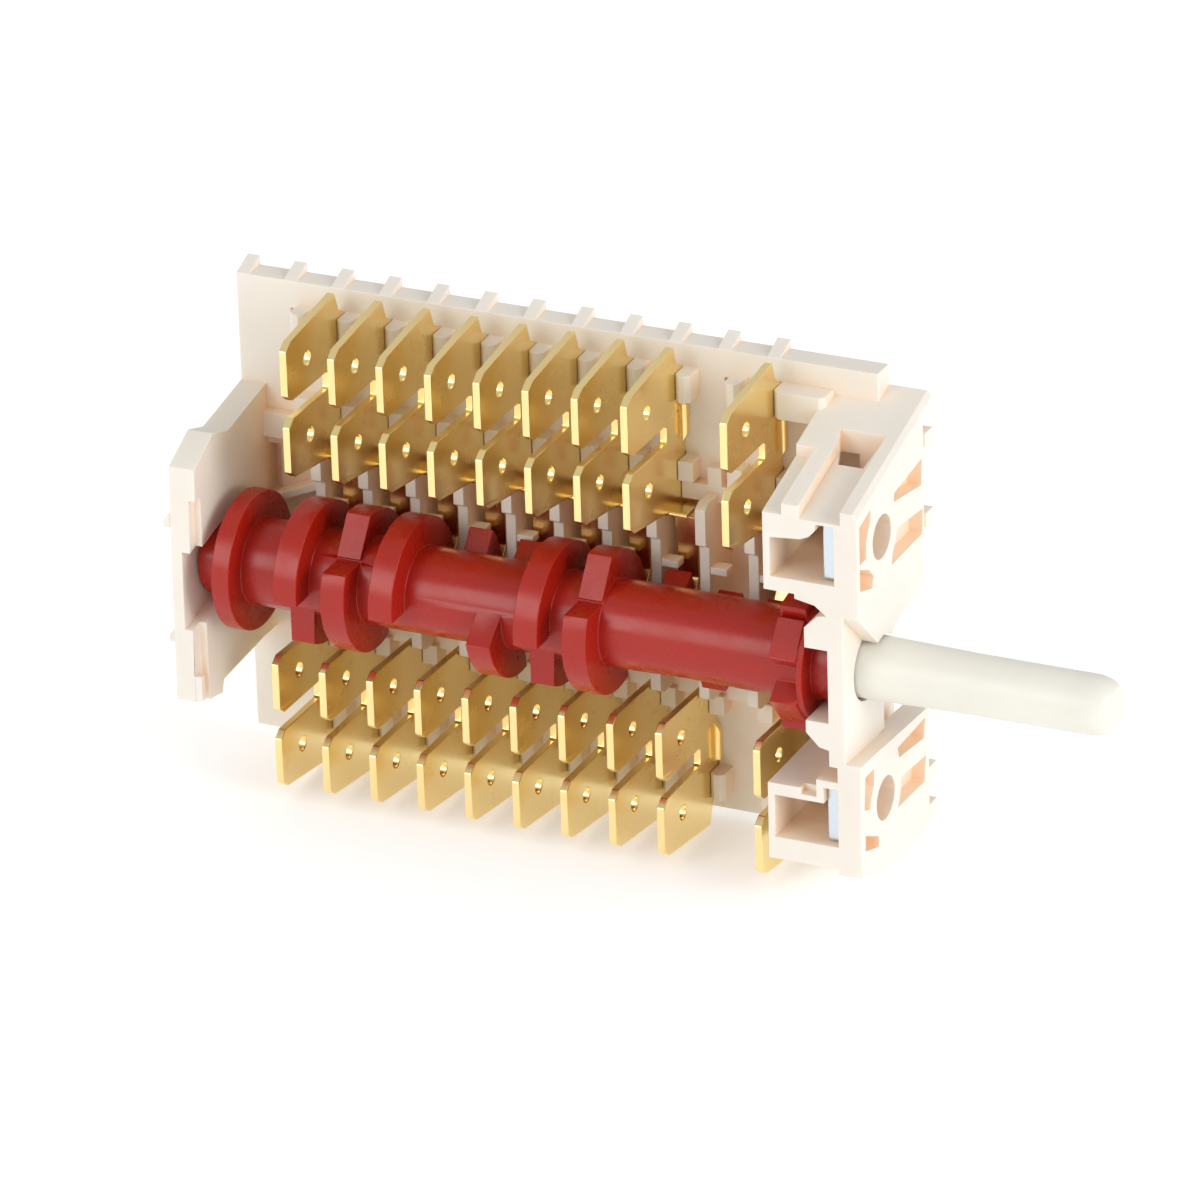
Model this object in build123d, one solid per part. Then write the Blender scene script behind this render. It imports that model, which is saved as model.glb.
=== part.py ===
from build123d import *
import math
import os

# Oven selector switch: a moulded frame with a cam shaft, forked tab terminals and contact springs.
# Millimetres. X runs along the spindle towards the knob, Y away from the open front, Z is up.
# The origin is where the spindle axis meets the mounting face of the head.

# Driving dimensions: circuits along the shaft
pitch = 5.25                # from one circuit to the next
circuits = 10               # contact chambers in the frame
first_cam_x = -61.25        # middle of the first cam
upper_circuits = (0, 1, 2, 3, 4, 5, 6, 7, 9)      # circuits with a terminal in the upper bank
lower_circuits = (-1, 0, 1, 2, 3, 4, 5, 6, 7, 9)  # the first of these has no contact

# Driving dimensions: back plate
plate_front_y = 10.0
plate_t = 2.7
plate_left_x = -74.0
plate_right_x = -4.5
plate_top_z = 26.2
plate_bottom_z = -23.8
comb_w = 1.4                # wedge ribs on the top edge
comb_h = 1.0
chamber_top_z = 10.2
chamber_low_z = -9.2
chamber_depth = 1.7         # into the plate
band_h = 1.8                # raised bands above and below the chambers
band_t = 1.2
divider_w = 1.1             # ribs between the chambers
divider_offset = 2.55       # from a cam to the rib on its left
divider_front_y = 6.5
nose_t = 0.9                # the noses of the ribs stand out by this
nose_h = 3.8
nose_rise = 0.5             # from the end of a chamber to the tip of a nose
ledge_z = 3.5
ledge_t = 0.75
ledge_w = 1.75
ledge_gap = 0.4             # between a ledge and the leaf behind it
catch_w = 1.5               # small blocks above the ribs
catch_h = 1.9
corner_pocket_w = 1.3       # hollow beside the end wall
corner_pocket_z = (2.7, 8.1)
boss_w = 1.6                # rounded bosses beside the terminals
boss_t = 2.5
boss_round = 0.5
boss_h = 2.9
boss_rise = 4.15            # from the middle of a terminal to its boss
small_boss_h = 2.1
small_boss_drop = 3.75

# Driving dimensions: end wall
end_wall_t = 2.8            # wall that carries the far journal
end_skin_t = 1.2            # what is left of it behind the journal slot
slot_tilt = 12.0            # degrees, the slot rises towards the axis
nub_h = 0.75                # small catches on the outside

# Driving dimensions: head
head_t = 2.5                # pads of the mounting face
head_front_y = -6.0
head_back_y = 10.8
roof_cover = 1.66           # from the nut pocket up to the front of the roof
roof_slope = 15.9           # degrees, rising to the back
roof_edge = 0.5             # chamfer on the outer edge of the roof
roof_lip_t = 1.4
lower_floor_t = 3.0
floor_drop = 2.5
floor_low_y = 4.3           # the floor falls as far as here and rises behind it
floor_rise = 1.0
hole_spacing = 28.0
hole_r = 2.25
boss_ring_r = 3.8
core_depth = 1.5            # hollows between the ribs of the pads
back_tab_w = 1.5            # small tabs on the back edge of the pads
back_tab_h = 1.5
web_recess = 1.65           # the middle of the face lies this far behind the pads
web_t = 1.7
web_half_z = 7.7
web_back_y = 3.7
claw_gap = 0.35             # between the star and the claws
upper_pad_low_z = 4.2
lower_pad_top_z = -8.0
box_left_x = -9.9           # boxes that hold the nut plates
box_wall = 0.7
box_floor_t = 1.5
box_skin = 1.1
box_back_y = 7.0
box_lip_z = 15.0            # lower edge of the lip in the mouth of the upper box
box_lip_y = 1.4             # thickness of the lip
cheek_t = 0.8               # around the nut in the lower box
cover_step = 0.4            # from the top of the nut down to the top of the box
strip_drop = 1.16           # the left strip of the roof lies this far below its rim
channel_drop = 1.36
strip_right_x = -7.9
channel_left_x = -6.1
channel_right_x = -1.8
channel_back_y = 5.5
window_front_y = 2.3
nut_t = 1.45
nut_h = 6.1
nut_l = 9.0
nut_shift_y = -0.6
nut_core_r = 1.65
nut_gap = 0.05

# Driving dimensions: cam shaft and spindle
shaft_r = 4.45
cam_r = 7.3
cam_w = 2.6
flange_x = -69.4
flange_r = 7.15
flange_t = 1.9
journal_r = 4.0
journal_gap = 0.08
end_play = 0.3
star_x = -9.5
star_w = 2.8
star_tooth_w = 4.2
disc_r = 6.1
disc_t = 0.6
spindle_root_r = 3.2
spindle_tip_r = 3.0
spindle_taper_l = 9.5
spindle_length = 24.2       # out of the mounting face
spindle_round_l = 2.5
spindle_round_r = 2.7       # halfway along the rounded end
spindle_end_r = 2.1
spindle_socket = 14.0       # depth of the spindle in the cam shaft
socket_gap = 0.02
spindle_gap = 0.3           # round the spindle where it leaves the head

# Driving dimensions: terminals
tab_t = 0.8
tab_w = 6.3
tab_pitch = 8.2             # between the two tabs of a fork
tab_front_y = -3.1
tab_lead = 0.75             # chamfer at the tip of a tab
tab_hole_r = 0.8
round_sides = 12            # small round forms that repeat have this many sides
tab_hole_y = 1.4
fork_root_y = 5.8
barb_y = 2.2                # the outer corner of a terminal lies this far in front of the plate
barb_rise = 1.25            # and stands up by this
barb_back = 1.4
barb_drop = 0.9
upper_bank_z = 18.2
lower_bank_z = -16.3
upper_offset = -1.1         # terminal plane from the cam
lower_offset = 1.65
root_near = 1.5             # the lug that is pressed into the plate, from the middle of a terminal
root_far = 5.0
leg_near = 3.5              # the leg towards the contact starts here
slot_gap = 0.05
flange_w = 0.6              # bent edge that lies on the plate
flange_top = 1.9
flange_low = 1.3
flange_end = 2.45
ear_t = 0.5                 # bent ear that carries a contact
ear_front_y = 6.0
ear_drop = 0.4              # from the end of the chamber

# Driving dimensions: contact springs
leaf_t = 0.3
leaf_w = 2.2
leaf_back_y = 8.8
leaf_top_z = 8.4
leaf_root_z = 6.7           # a spring is fixed above this height
leaf_end_z = -5.6
nose_gap = 0.3              # between the nose of a spring and the highest lobe
fold_half_h = 1.9           # half height of the folded nose of a spring
contact_r = 0.9
contact_h = 0.3
contact_z = -4.5
contact_gap = 0.55


def box(x0, x1, y0, y1, z0, z1):
    """A block between two corners."""
    size = Box(x1 - x0, y1 - y0, z1 - z0)
    return Pos((x0 + x1) / 2, (y0 + y1) / 2, (z0 + z1) / 2) * size


def prism_x(points, x0, x1):
    """A solid with the outline points, each Y and Z, between two values of X."""
    outline = make_face(Polyline(*[(x0, y, z) for y, z in points], close=True))
    return extrude(outline, amount=x1 - x0, dir=(1, 0, 0))


def prism_y(points, y0, y1):
    """A solid with the outline points, each X and Z, between two values of Y."""
    outline = make_face(Polyline(*[(x, y0, z) for x, z in points], close=True))
    return extrude(outline, amount=y1 - y0, dir=(0, 1, 0))


def prism_z(points, z0, z1):
    """A solid with the outline points, each X and Y, between two values of Z."""
    outline = make_face(Polyline(*[(x, y, z0) for x, y in points], close=True))
    return extrude(outline, amount=z1 - z0, dir=(0, 0, 1))


def rod(x0, x1, r, y=0.0, z=0.0):
    """A round bar along X."""
    return Pos((x0 + x1) / 2, y, z) * Rot(0, 90, 0) * Cylinder(r, x1 - x0)


def between(a, b):
    return min(a, b), max(a, b)


def cam_x(i):
    return first_cam_x + pitch * i


def divider_x(i):
    """Left face of the rib beside cam i."""
    return cam_x(i) - divider_offset - divider_w / 2


hole_z = hole_spacing / 2
nut_high = hole_z + nut_h / 2 + nut_gap     # the pocket of a nut plate, from the axis
nut_low = hole_z - nut_h / 2 - nut_gap
box_floor_z = nut_low - box_floor_t
roof_front_z = nut_high + roof_cover
floor_front_z = -nut_high - lower_floor_t
floor_low_z = floor_front_z - floor_drop
plate_back_y = plate_front_y + plate_t
chamber_back_y = plate_front_y + chamber_depth
band_front_y = plate_front_y - band_t
end_wall_x = plate_left_x + end_wall_t
slot_floor_x = plate_left_x + end_skin_t
journal_slot_r = journal_r + journal_gap
web_x = -web_recess - web_t
star_end_x = star_x + star_w
claw_x = star_end_x + disc_t + claw_gap
roof_rise = math.tan(math.radians(roof_slope))
leaf_front_y = leaf_back_y - leaf_t
banks = ((1, upper_offset, upper_bank_z, chamber_top_z), (-1, lower_offset, lower_bank_z, chamber_low_z))


def roof_z(y, drop=0.0):
    """Height of the rim of the sloping roof, less a drop, at a distance y."""
    return roof_front_z - drop + (y - head_front_y) * roof_rise


def under_roof(y0, y1, top_drop, low_drop, x0, x1):
    """A slanted slab that follows the roof."""
    return prism_x([(y0, roof_z(y0, top_drop)), (y1, roof_z(y1, top_drop)),
                    (y1, roof_z(y1, low_drop)), (y0, roof_z(y0, low_drop))], x0, x1)


def back_plate():
    plate = box(plate_left_x, plate_right_x, plate_front_y, plate_back_y, plate_bottom_z, plate_top_z)
    parts = []
    for i in range(circuits + 2):
        x = plate_left_x + pitch * i
        parts.append(prism_x([(plate_front_y, plate_top_z), (plate_back_y, plate_top_z),
                              (plate_back_y, plate_top_z + comb_h)], x, x + comb_w))
    for side, offset, bank_z, end_z in banks:
        z0, z1 = between(end_z - side * band_h / 2, end_z + side * band_h)
        parts.append(box(end_wall_x, box_left_x, band_front_y, plate_front_y, z0, z1))
    return plate + parts


def chamber(i):
    """The hollow in the plate and its bands behind cam i."""
    x = divider_x(i) + divider_w
    return box(x, x + pitch - divider_w, band_front_y, chamber_back_y, chamber_low_z, chamber_top_z)


def divider(i):
    """The rib on the left of chamber i, with a nose at its top and bottom and two ledges."""
    x = divider_x(i)
    f = divider_front_y
    n = f - nose_t
    outline = []
    for side, end_z in ((1, chamber_top_z), (-1, chamber_low_z)):
        tip = end_z + side * nose_rise
        low = tip - side * nose_h
        half = [(plate_front_y, tip + side * nose_rise), (f, tip + side * nose_rise), (n, tip),
                (n, low), (f, low - side * nose_rise)]
        outline += half[::side]
    rib = [prism_x(outline, x, x + divider_w)]
    for side in (1, -1):
        z0, z1 = between(side * ledge_z, side * (ledge_z + ledge_t))
        rib.append(box(x + divider_w, x + divider_w + ledge_w, f + 0.1, leaf_front_y - ledge_gap, z0, z1))
    if i > 0:
        low = chamber_top_z + band_h
        rib.append(box(x, x + catch_w, band_front_y, plate_front_y, low, low + catch_h))
    return rib


def end_wall():
    """The wall at the far end, with the slot that the journal snaps into from the front."""
    profile = [(plate_front_y, 14.6), (1.4, 13.0), (-1.8, 14.0), (-6.2, 11.8), (-6.6, 2.7), (-6.9, -13.4),
               (-2.4, -14.2), (-2.0, -12.9), (7.0, -12.2), (plate_front_y, -12.2)]
    wall = prism_x(profile, plate_left_x, end_wall_x)
    way = box(slot_floor_x, end_wall_x, -12, 0, -journal_slot_r, journal_slot_r)
    wall -= [rod(slot_floor_x, end_wall_x, journal_slot_r), Rot(slot_tilt, 0, 0) * way,
             box(end_wall_x - 0.7, end_wall_x, -8, -5.2, -14, 8.4)]
    trims = [box(end_wall_x - 0.9, end_wall_x, -6.8, -6.0, -13.3, -10.6)]
    for z in (5.3, -7.3):
        trims.append(prism_y([(plate_left_x, z + 1.6), (plate_left_x - nub_h, z + 0.7),
                              (plate_left_x - nub_h, z), (plate_left_x, z)], -6.5, -5.0))
    return wall + trims


def corner():
    """The hollow beside the end wall and the slanted rib below it."""
    low, high = corner_pocket_z
    hollow = box(end_wall_x, end_wall_x + corner_pocket_w, plate_front_y, chamber_back_y, low, high)
    left = end_wall_x + corner_pocket_w
    right = divider_x(0)
    rise = ledge_z - low
    rib = prism_y([(left, low), (left, low + ledge_t), (right, ledge_z + ledge_t + 2 * rise),
                   (right, ledge_z + 2 * rise)], divider_front_y + 1, plate_front_y)
    return hollow, rib


# The hollows of a mounting pad: the corners of each, as Y and the height above the middle of the hole
pad_hollows = {
    1: (((3.2, 3.3), (10.0, 4.1), (9.8, 1.3), (3.0, 2.4)), ((3.1, -0.6), (10.0, -1.3), (9.9, -3.9), (2.3, -4.0)),
        ((-5.4, -1.2), (-1.9, -2.7), (-2.4, -4.4), (-5.4, -3.5)),
        ((-5.4, -0.7), (-5.4, 3.2), (-2.6, 4.0), (-2.6, -0.7))),
    -1: (((3.1, 4.0), (10.0, 4.2), (9.6, 2.1), (3.4, 2.8)), ((3.9, 0.5), (10.1, 0.0), (9.7, -2.7), (2.0, -2.4)),
         ((-5.1, -1.8), (-1.7, -3.4), (-1.7, -4.5), (-5.1, -3.5)),
         ((-5.2, 1.0), (-4.9, 4.4), (-2.7, 4.4), (-2.9, 0.2))),
}


def pad(side):
    """A mounting pad with its hole, boss ring and cored hollows between ribs."""
    if side > 0:
        lip_z = roof_z(plate_back_y) - roof_lip_t
        outline = [(head_front_y, roof_z(head_front_y)), (plate_back_y, roof_z(plate_back_y)),
                   (plate_back_y, lip_z), (head_back_y, lip_z), (head_back_y, upper_pad_low_z + 0.6),
                   (web_back_y, upper_pad_low_z - 0.6), (0.0, 2.0), (head_front_y, web_half_z)]
    else:
        outline = [(head_front_y, floor_front_z), (floor_low_y, floor_low_z),
                   (head_back_y, floor_low_z + floor_rise), (head_back_y, lower_pad_top_z - 1),
                   (head_front_y, lower_pad_top_z)]
    solid = prism_x(outline, -head_t, 0)
    if side > 0:
        rim = solid.edges().filter_by(lambda e: abs(e.center().X) < 0.01 and e.length > head_back_y - head_front_y)
        solid = chamfer(rim, roof_edge)
    z = side * hole_z
    solid -= [prism_x([(y, z + rise) for y, rise in points], -core_depth, 0) for points in pad_hollows[side]]
    solid += rod(-head_t, 0, boss_ring_r, 0, z)
    for rise in (4.8, -3.7) if side > 0 else (-3.2, -7.3):
        solid += box(-back_tab_w, 0, head_back_y, plate_back_y, z + rise, z + rise + back_tab_h)
    return solid - [rod(-head_t, 0, hole_r, 0, z), rod(-head_t, 0, spindle_root_r + spindle_gap)]


def head_web():
    """The recessed middle of the face and the claws that the journal snaps into."""
    web = box(web_x, -web_recess, head_front_y, web_back_y, -web_half_z - 0.8, web_half_z + 0.8)
    web += prism_x([(web_back_y, upper_pad_low_z - 0.6), (head_back_y, upper_pad_low_z + 0.6),
                    (head_back_y, box_floor_z + 1.0), (web_back_y, box_floor_z + 1.0)], web_x, -web_recess)
    web -= rod(web_x, -web_recess, spindle_root_r + spindle_gap)
    claws = prism_y([(web_x, 7.6), (web_x - 1.0, 7.4), (claw_x, 6.0), (claw_x, -5.2), (web_x - 1.0, -6.6),
                     (web_x, -6.8)], head_front_y, web_back_y + 2.3)
    claws -= [rod(claw_x, web_x, journal_slot_r),
              box(claw_x, web_x, head_front_y, 0, -journal_slot_r + 0.2, journal_slot_r - 0.2)]
    cheek = prism_y([(star_end_x, box_floor_z + 0.1), (star_end_x, box_floor_z - 0.5),
                     (star_end_x + 2.1, box_floor_z - 0.9), (web_x, web_half_z - 0.2),
                     (-head_t, web_half_z - 0.2), (-head_t, box_floor_z + 0.1)], head_front_y, web_back_y)
    return web + claws + cheek


def upper_box():
    """The box behind the upper pad, open to the front, with a lip over its mouth."""
    shell = prism_x([(head_front_y, box_floor_z), (head_front_y, roof_z(head_front_y)),
                     (plate_back_y, roof_z(plate_back_y)), (plate_back_y, box_floor_z)],
                    box_left_x, -head_t)
    left = box_left_x + box_wall
    nut_left = -head_t - nut_t
    mouth = prism_y([(left, nut_low), (-head_t, nut_low), (-head_t, nut_high), (nut_left - 0.4, nut_high),
                     (nut_left - 0.5, nut_high - 0.7), (nut_left - 1.1, box_lip_z + 0.7),
                     (nut_left - 2.0, box_lip_z + 0.3), (left, box_lip_z)], head_front_y, box_back_y)
    y0 = head_front_y + box_lip_y
    drop = channel_drop + box_skin
    inside = prism_x([(y0, nut_low), (y0, roof_z(y0, drop)), (box_back_y, roof_z(box_back_y, drop)),
                      (box_back_y, nut_low)], left, nut_left - 0.7)
    return shell - [mouth, inside]


def roof_cuts():
    """The strip, the channel and the window in the roof of the head."""
    above = roof_z(plate_back_y)
    strip = under_roof(head_front_y, window_front_y, -1, strip_drop, box_left_x, strip_right_x)
    channel = under_roof(head_front_y, channel_back_y, -1, channel_drop, channel_left_x, channel_right_x)
    window = prism_z([(channel_left_x + 0.6, window_front_y), (channel_right_x - 1.1, window_front_y),
                      (channel_right_x - 0.8, channel_back_y), (channel_left_x - 0.5, channel_back_y)],
                     hole_z + nut_h / 2, above)
    return [strip, channel, window]


def lower_box():
    """The box behind the lower pad, with a raised cover over its nut plate."""
    top = -nut_low - cover_step
    skin = 0.6
    shell = prism_x([(head_front_y, top), (head_front_y, floor_front_z + skin),
                     (floor_low_y, floor_low_z + skin), (plate_back_y, floor_low_z + floor_rise + skin),
                     (plate_back_y, top)], box_left_x, -head_t)
    shell += box(-head_t - nut_t - cheek_t, -head_t, head_front_y, 6.0, top, -nut_low + cheek_t)
    left = box_left_x + box_wall
    mouth = box(left, -head_t, head_front_y, box_back_y, -nut_high, top - box_skin - 0.2)
    nut_way = box(-head_t - nut_t - nut_gap, -head_t, head_front_y, box_back_y, -nut_high, -nut_low)
    notch = box(-6.4, -head_t - nut_t - cheek_t, head_front_y, head_front_y + 1.1, top - 0.7, top)
    return shell - [mouth, nut_way, notch]


def press_slots():
    """Hollows in the plate that the terminals are pressed into from the front."""
    slots = []
    for side, offset, bank_z, end_z in banks:
        wired = upper_circuits if side > 0 else lower_circuits
        for i in range(-1, circuits):
            x0 = cam_x(i) + offset - tab_t / 2 - slot_gap
            x1 = x0 + tab_t + 2 * slot_gap
            z0, z1 = between(bank_z + side * (root_near - slot_gap), bank_z + side * (root_far + slot_gap))
            slots.append(box(x0, x1, plate_front_y, chamber_back_y, z0, z1))
            if i in wired:
                z0, z1 = between(bank_z - side * (leg_near - slot_gap), end_z - side * 0.1)
                slots.append(box(x0, x1, band_front_y, chamber_back_y, z0, z1))
    return slots


def bosses():
    """Bosses with a rounded front on the right of each terminal; the last upper one runs to the head."""
    parts = []
    for side, offset, bank_z, end_z in banks:
        for i in range(-1, circuits):
            x0 = cam_x(i) + offset + tab_t / 2 + slot_gap
            x1 = box_left_x + box_wall if side > 0 and i == circuits - 1 else x0 + boss_w
            y = plate_front_y - boss_t
            z = bank_z + side * boss_rise
            section = [(x0, plate_front_y), (x0, y + boss_round), (x0 + boss_round, y),
                       (x1 - boss_round, y), (x1, y + boss_round), (x1, plate_front_y)]
            parts.append(prism_z(section, z - boss_h / 2, z + boss_h / 2))
            z0, z1 = between(bank_z - side * small_boss_drop, bank_z - side * (small_boss_drop + small_boss_h))
            parts.append(box(x0, x0 + boss_w, y + boss_round, plate_front_y, z0, z1))
    return parts


def detent_seat():
    """The block in the last chamber that the detent spring is fixed to."""
    x = star_x + star_w / 2
    return box(x - leaf_w / 2, x + leaf_w / 2, leaf_back_y, chamber_back_y, leaf_root_z, chamber_top_z)


def frame():
    hollow, slanted_rib = corner()
    plate = back_plate() - [chamber(i) for i in range(circuits + 1)] - hollow
    ribs = [slanted_rib]
    for i in range(circuits + 1):
        ribs += divider(i)
    body = plate + ribs + bosses() - press_slots()
    head = upper_box() + lower_box() + pad(1) + pad(-1) + head_web() - roof_cuts()
    return body + end_wall() + head + detent_seat()


def lobe(x, flat, end, r=cam_r):
    """A cam lobe that starts with a flat, from its outer to its inner edge, and runs to the angle end.

    Angles are counted from the front over the top."""
    (y1, z1), (y0, z0) = flat
    start = math.degrees(math.atan2(z1, -y1))
    steps = int(abs(end - start) / 45) + 1
    reach = 2 * r
    fan = []
    for k in range(1, steps + 1):
        a = math.radians(start + (end - start) * k / steps)
        fan.append((-reach * math.cos(a), reach * math.sin(a)))
    wedge = prism_x([(2 * y1 - y0, 2 * z1 - z0), (y0, z0), (0, 0)] + fan[::-1], x, x + cam_w)
    return wedge & rod(x, x + cam_w, r)


# The flat that each lobe starts with, as its outer and inner edge, and the angle where the lobe ends
level_below = ((-7.2, -0.7), (-3.6, -0.7))
level_above = ((-6.6, 3.2), (-3.0, 3.2))
upright = ((-3.6, -6.4), (-3.6, -2.0))
ramp = ((-0.6, 7.3), (-3.2, 3.6))
lead_in = ((-7.1, -1.6), (-4.0, 1.2))
lobes = {
    0: ((level_below, 150), (upright, -150)),
    1: ((ramp, 185), (level_above, -110)),
    2: ((level_below, 185),),
    3: ((((5.4, 4.9), (3.5, 2.6)), 215),),
    4: ((lead_in, -100), (((6.0, 4.2), (3.7, 2.3)), 210)),
    5: ((level_below, 150), (upright, -150)),
    6: ((ramp, 175), (level_above, -110)),
    7: ((((6.4, 3.4), (3.9, 1.9)), 235),),
    8: ((((7.1, 1.8), (4.2, 1.0)), 250),),
    9: ((((7.1, 1.7), (4.2, 0.8)), 240),),
}
star_teeth = ((38, 6.3), (-40, 6.3), (-80, 7.0), (-120, 7.0), (-160, 7.0), (160, 7.0), (120, 7.3), (80, 7.0))


def camshaft():
    parts = [rod(slot_floor_x + end_play, flange_x, journal_r),
             rod(flange_x, flange_x + flange_t, flange_r),
             rod(star_end_x, star_end_x + disc_t, disc_r),
             rod(star_end_x + disc_t, web_x - end_play, journal_r)]
    for i, row in lobes.items():
        for flat, end in row:
            parts.append(lobe(cam_x(i) - cam_w / 2, flat, end))
    for turn, tall in star_teeth:
        tooth = box(star_x, star_end_x, -tall, 0, -star_tooth_w / 2, star_tooth_w / 2)
        parts.append(Rot(-turn, 0, 0) * tooth)
    body = rod(flange_x, star_end_x, shaft_r) + parts
    return body - rod(web_x - spindle_socket, 0, spindle_root_r + socket_gap)


def spindle():
    """A slightly tapered spindle with a rounded end, turned in one piece with its root."""
    root_x = web_x - spindle_socket + end_play
    shoulder_x = spindle_length - spindle_round_l
    profile = [(root_x, 0), (root_x, spindle_root_r), (0, spindle_root_r), (spindle_taper_l, spindle_tip_r),
               (shoulder_x, spindle_tip_r), (spindle_length - spindle_round_l / 3, spindle_round_r),
               (spindle_length, spindle_end_r), (spindle_length, 0)]
    outline = make_face(Polyline(*[(x, 0, z) for x, z in profile], close=True))
    return revolve(outline, axis=Axis.X)


def terminal(x, bank_z, side, ear=False):
    """A stamped fork with two tabs, a bent flange on the plate and a lug pressed into it.

    With an ear, the inner edge slants down to the ear."""
    outer = bank_z + side * (tab_pitch + tab_w) / 2
    inner = bank_z - side * (tab_pitch + tab_w) / 2
    gap = side * (tab_pitch - tab_w) / 2
    f, c, s, back = tab_front_y, tab_lead, side, plate_front_y
    lead_y = f + 1.3 * c
    if ear:
        low = chamber_top_z - ear_drop
        root = [(back, low + slot_gap + ear_drop), (leaf_back_y, low), (ear_front_y, low)]
    else:
        root = [(back, inner + s * 2.6), (back - 2.6, inner + s * 0.4)]
    outline = [(f, outer - s * c), (lead_y, outer), (back - barb_y, outer + s * barb_rise),
               (back - barb_back, outer - s * barb_drop), (back, outer - s * 1.7)] + root
    outline += [(lead_y, inner), (f, inner + s * c), (f, bank_z - gap - s * c), (lead_y, bank_z - gap),
                (fork_root_y, bank_z - gap), (fork_root_y, bank_z + gap), (lead_y, bank_z + gap),
                (f, bank_z + gap + s * c)]
    x0, x1 = x - tab_t / 2, x + tab_t / 2
    flange = prism_y([(x1, bank_z + s * flange_top), (x1 + flange_w, bank_z + s * flange_top),
                      (x1 + flange_w, bank_z - s * flange_low), (x1, bank_z - s * flange_end)], back - tab_t, back)
    z0, z1 = between(bank_z + s * root_near, bank_z + s * root_far)
    lug = box(x0, x1, back, chamber_back_y - slot_gap, z0, z1)
    holes = []
    for t in (1, -1):
        place = Pos(x0, tab_hole_y, bank_z + t * tab_pitch / 2) * Rot(0, 90, 0)
        holes.append(place * extrude(RegularPolygon(tab_hole_r, round_sides), tab_t))
    return prism_x(outline, x0, x1) + [flange, lug] - holes


def upper_contact(i):
    """The leg of an upper terminal and its bent ear, which the contact spring is fixed to."""
    x = cam_x(i) + upper_offset
    top = chamber_top_z - ear_drop
    leg = box(x - tab_t / 2, x + tab_t / 2, plate_front_y, chamber_back_y - slot_gap, leaf_root_z,
              upper_bank_z - leg_near)
    ear = prism_x([(ear_front_y, top), (leaf_back_y + ear_t, top), (leaf_back_y + ear_t, leaf_root_z),
                   (leaf_back_y, leaf_root_z), (leaf_back_y, top - ear_t), (ear_front_y, top - ear_t)],
                  x - tab_t / 2, cam_x(i) + leaf_w / 2)
    link = box(x - tab_t / 2, x + tab_t / 2, leaf_back_y, plate_front_y, leaf_root_z, chamber_top_z)
    return [leg, ear, link]


fixed_contact_y = leaf_back_y + contact_h + contact_gap


def button(x, y0, y1):
    """A round contact between two values of Y."""
    return Pos(x, y1, contact_z) * Rot(90, 0, 0) * extrude(RegularPolygon(contact_r, round_sides), y1 - y0)


def lower_contact(i):
    """The leg and bent arm of a lower terminal, with the fixed contact."""
    x = cam_x(i) + lower_offset
    leg = box(x - tab_t / 2, x + tab_t / 2, plate_front_y, chamber_back_y - slot_gap,
              lower_bank_z + leg_near, -leaf_root_z)
    arm_y = fixed_contact_y + contact_h
    arm = box(cam_x(i) - leaf_w / 2, x + tab_t / 2, arm_y, arm_y + ear_t, -leaf_top_z, contact_z + 1.4)
    return [leg, arm, button(cam_x(i), fixed_contact_y, arm_y)]


def contact_spring(x, contact=True):
    """A thin spring with a folded nose towards the cam and a contact button near its free end."""
    back, front = leaf_back_y, leaf_front_y
    tip = cam_r + nose_gap
    n = fold_half_h
    outline = [(back, leaf_top_z), (back, n), (tip + leaf_t, 0.5), (tip + leaf_t, -0.5), (back, -n),
               (back, leaf_end_z), (front, leaf_end_z), (front, -n - 0.1), (tip, -0.7), (tip, 0.7),
               (front, n + 0.1), (front, leaf_top_z)]
    leaf = prism_x(outline, x - leaf_w / 2, x + leaf_w / 2)
    if contact:
        leaf += button(x, back, back + contact_h)
    return leaf


def nut_plate(side):
    z = side * hole_z
    y0 = nut_shift_y - nut_l / 2
    plate = box(-head_t - nut_t, -head_t - nut_gap, y0, y0 + nut_l, z - nut_h / 2, z + nut_h / 2)
    return plate - rod(-head_t - nut_t, -head_t, nut_core_r, 0, z)


os.makedirs("parts", exist_ok=True)
pieces = {
    "body_frame": frame(),
    "camshaft": camshaft(),
    "spindle": spindle(),
    "nut_plate_upper": nut_plate(1),
    "nut_plate_lower": nut_plate(-1),
    "detent_spring": contact_spring(star_x + star_w / 2, contact=False),
}
for i in upper_circuits:
    fork = terminal(cam_x(i) + upper_offset, upper_bank_z, 1, ear=True)
    pieces[f"upper_terminal_{i + 1}"] = fork + upper_contact(i)
    pieces[f"contact_spring_{i + 1}"] = contact_spring(cam_x(i))
for i in lower_circuits:
    fork = terminal(cam_x(i) + lower_offset, lower_bank_z, -1)
    pieces[f"lower_terminal_{i + 2}"] = fork + lower_contact(i) if i >= 0 else fork
for name, shape in pieces.items():
    export_step(shape, f"parts/{name}.step")
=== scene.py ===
"""Oven selector switch: stamps its brass, softens its mouldings and sets the studio."""

import math

import bmesh
import bpy
from mathutils import Matrix, Vector
from mathutils.geometry import tessellate_polygon


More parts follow.
